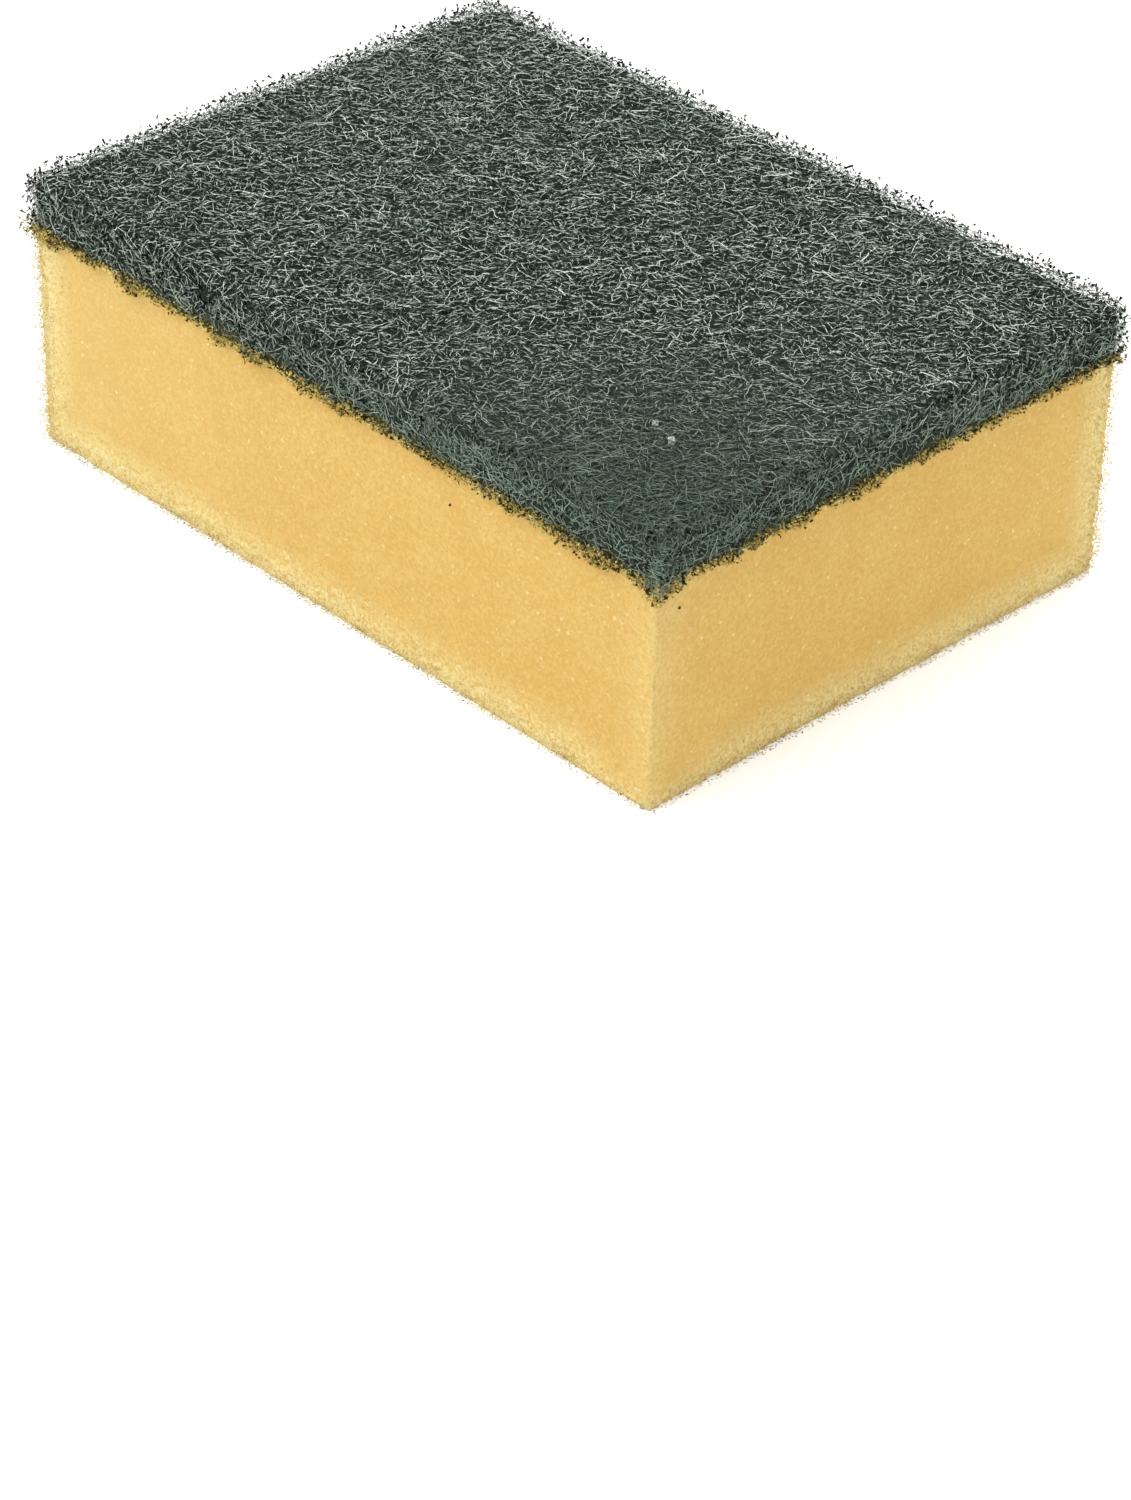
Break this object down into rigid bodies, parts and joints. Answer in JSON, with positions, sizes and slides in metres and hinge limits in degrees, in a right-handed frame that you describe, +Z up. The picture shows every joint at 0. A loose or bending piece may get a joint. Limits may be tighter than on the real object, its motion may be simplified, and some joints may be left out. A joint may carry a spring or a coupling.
{
  "type": "cleaning sponge",
  "caption": "Rectangular two-sided cleaning sponge: a block of open-cell foam with an abrasive non-woven scouring pad bonded over its whole top.",
  "frame": {"origin": "middle of the foam's underside, the face that the sponge stands on", "axes": "+X along the sponge's length, +Y across its width, +Z up through the scouring pad"},
  "size_m": [0.1018, 0.0719, 0.0345],
  "materials": {
    "foam": "open-cell foam, sawn, dry and matt",
    "bond": "melted film with fibre ends stuck in it",
    "web": "coarse non-woven web with mineral grit in its resin"
  },
  "bodies": {
    "root": {"foam_block": "foam", "bond_film": "bond", "scouring_pad": "web"}
  },
  "joints": []
}
